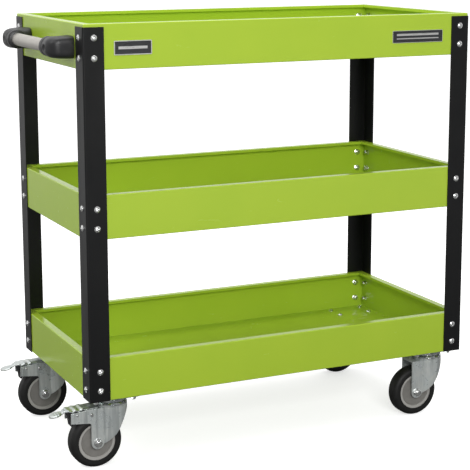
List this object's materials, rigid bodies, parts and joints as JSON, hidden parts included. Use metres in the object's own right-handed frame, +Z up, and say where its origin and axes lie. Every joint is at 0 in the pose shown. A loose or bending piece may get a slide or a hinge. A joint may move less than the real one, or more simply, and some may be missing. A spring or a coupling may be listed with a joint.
{
  "type": "workshop trolley",
  "caption": "Tiered sheet-metal workshop trolley with open trays on angle legs, an end push handle, swivel castors and foot brakes.",
  "frame": {"origin": "on the floor, at the middle of the whole object's length and width, with the handle and the brake pedals counted in", "axes": "+Z up, +X along the trays away from the handle, +Y to the back long side; the name plates are on the -Y side"},
  "size_m": [0.9241, 0.4322, 0.872],
  "materials": {
    "tray_paint": "gloss powder coat, lime green",
    "leg_paint": "satin powder coat, black",
    "bright_zinc": "bright zinc plated fasteners",
    "castor_zinc": "zinc plated pressings",
    "ball_steel": "polished balls",
    "tube_metal": "satin tube",
    "bracket_plastic": "moulded, fine grain",
    "hub_plastic": "moulded, warm grey",
    "tyre_rubber": "black rubber",
    "shoe_black": "black",
    "plate_face": "dark blank plate with a raised border"
  },
  "bodies": {
    "frame": {"top_tray": "tray_paint", "middle_tray": "tray_paint", "bottom_tray": "tray_paint", "leg_front_left": "leg_paint", "leg_front_right": "leg_paint", "leg_back_left": "leg_paint", "leg_back_right": "leg_paint", "tray_screws": "bright_zinc", "tray_nuts": "bright_zinc", "handle_tube": "tube_metal", "handle_bracket_front": "bracket_plastic", "handle_bracket_back": "bracket_plastic", "handle_screws": "bright_zinc", "name_plate_left": "plate_face", "name_plate_right": "plate_face", "castor_mount_screws": "bright_zinc", "castor_mount_nuts": "bright_zinc", "castor_plate_front_left": "castor_zinc", "castor_plate_front_right": "castor_zinc", "castor_plate_back_left": "castor_zinc", "castor_plate_back_right": "castor_zinc", "king_pin_front_left": "castor_zinc", "king_pin_front_right": "castor_zinc", "king_pin_back_left": "castor_zinc", "king_pin_back_right": "castor_zinc"},
    "swivel_front_left": {"bearing_balls_front_left": "ball_steel", "fork_front_left": "castor_zinc", "axle_front_left": "bright_zinc", "sleeve_front_left": "bright_zinc", "brake_pins_front": "bright_zinc"},
    "swivel_front_right": {"bearing_balls_front_right": "ball_steel", "fork_front_right": "castor_zinc", "axle_front_right": "bright_zinc", "sleeve_front_right": "bright_zinc"},
    "swivel_back_left": {"bearing_balls_back_left": "ball_steel", "fork_back_left": "castor_zinc", "axle_back_left": "bright_zinc", "sleeve_back_left": "bright_zinc", "brake_pins_back": "bright_zinc"},
    "swivel_back_right": {"bearing_balls_back_right": "ball_steel", "fork_back_right": "castor_zinc", "axle_back_right": "bright_zinc", "sleeve_back_right": "bright_zinc"},
    "wheel_front_left": {"hub_front_left": "hub_plastic", "tyre_front_left": "tyre_rubber"},
    "wheel_front_right": {"hub_front_right": "hub_plastic", "tyre_front_right": "tyre_rubber"},
    "wheel_back_left": {"hub_back_left": "hub_plastic", "tyre_back_left": "tyre_rubber"},
    "wheel_back_right": {"hub_back_right": "hub_plastic", "tyre_back_right": "tyre_rubber"},
    "pedal_front": {"brake_pedal_front": "castor_zinc", "brake_shoe_front": "shoe_black"},
    "pedal_back": {"brake_pedal_back": "castor_zinc", "brake_shoe_back": "shoe_black"}
  },
  "joints": [
    {"name": "castor_swivel_front_left", "type": "hinge", "parent": "frame", "child": "swivel_front_left", "pos_m": [-0.3338, -0.1695, 0.133], "axis": [0, 0, 1], "continuous": true},
    {"name": "castor_swivel_front_right", "type": "hinge", "parent": "frame", "child": "swivel_front_right", "pos_m": [0.4002, -0.1695, 0.133], "axis": [0, 0, 1], "continuous": true},
    {"name": "castor_swivel_back_left", "type": "hinge", "parent": "frame", "child": "swivel_back_left", "pos_m": [-0.3338, 0.1695, 0.133], "axis": [0, 0, 1], "continuous": true},
    {"name": "castor_swivel_back_right", "type": "hinge", "parent": "frame", "child": "swivel_back_right", "pos_m": [0.4002, 0.1695, 0.133], "axis": [0, 0, 1], "continuous": true},
    {"name": "wheel_spin_front_left", "type": "hinge", "parent": "swivel_front_left", "child": "wheel_front_left", "pos_m": [-0.3698, -0.1695, 0.053], "axis": [0, 1, 0], "continuous": true},
    {"name": "wheel_spin_front_right", "type": "hinge", "parent": "swivel_front_right", "child": "wheel_front_right", "pos_m": [0.3642, -0.1695, 0.053], "axis": [0, 1, 0], "continuous": true},
    {"name": "wheel_spin_back_left", "type": "hinge", "parent": "swivel_back_left", "child": "wheel_back_left", "pos_m": [-0.3698, 0.1695, 0.053], "axis": [0, 1, 0], "continuous": true},
    {"name": "wheel_spin_back_right", "type": "hinge", "parent": "swivel_back_right", "child": "wheel_back_right", "pos_m": [0.3642, 0.1695, 0.053], "axis": [0, 1, 0], "continuous": true},
    {"name": "brake_pedal_front", "type": "hinge", "parent": "swivel_front_left", "child": "pedal_front", "pos_m": [-0.3808, -0.1695, 0.1113], "axis": [0, -1, 0], "range_deg": [0, 12]},
    {"name": "brake_pedal_back", "type": "hinge", "parent": "swivel_back_left", "child": "pedal_back", "pos_m": [-0.3808, 0.1695, 0.1113], "axis": [0, -1, 0], "range_deg": [0, 12]}
  ]
}
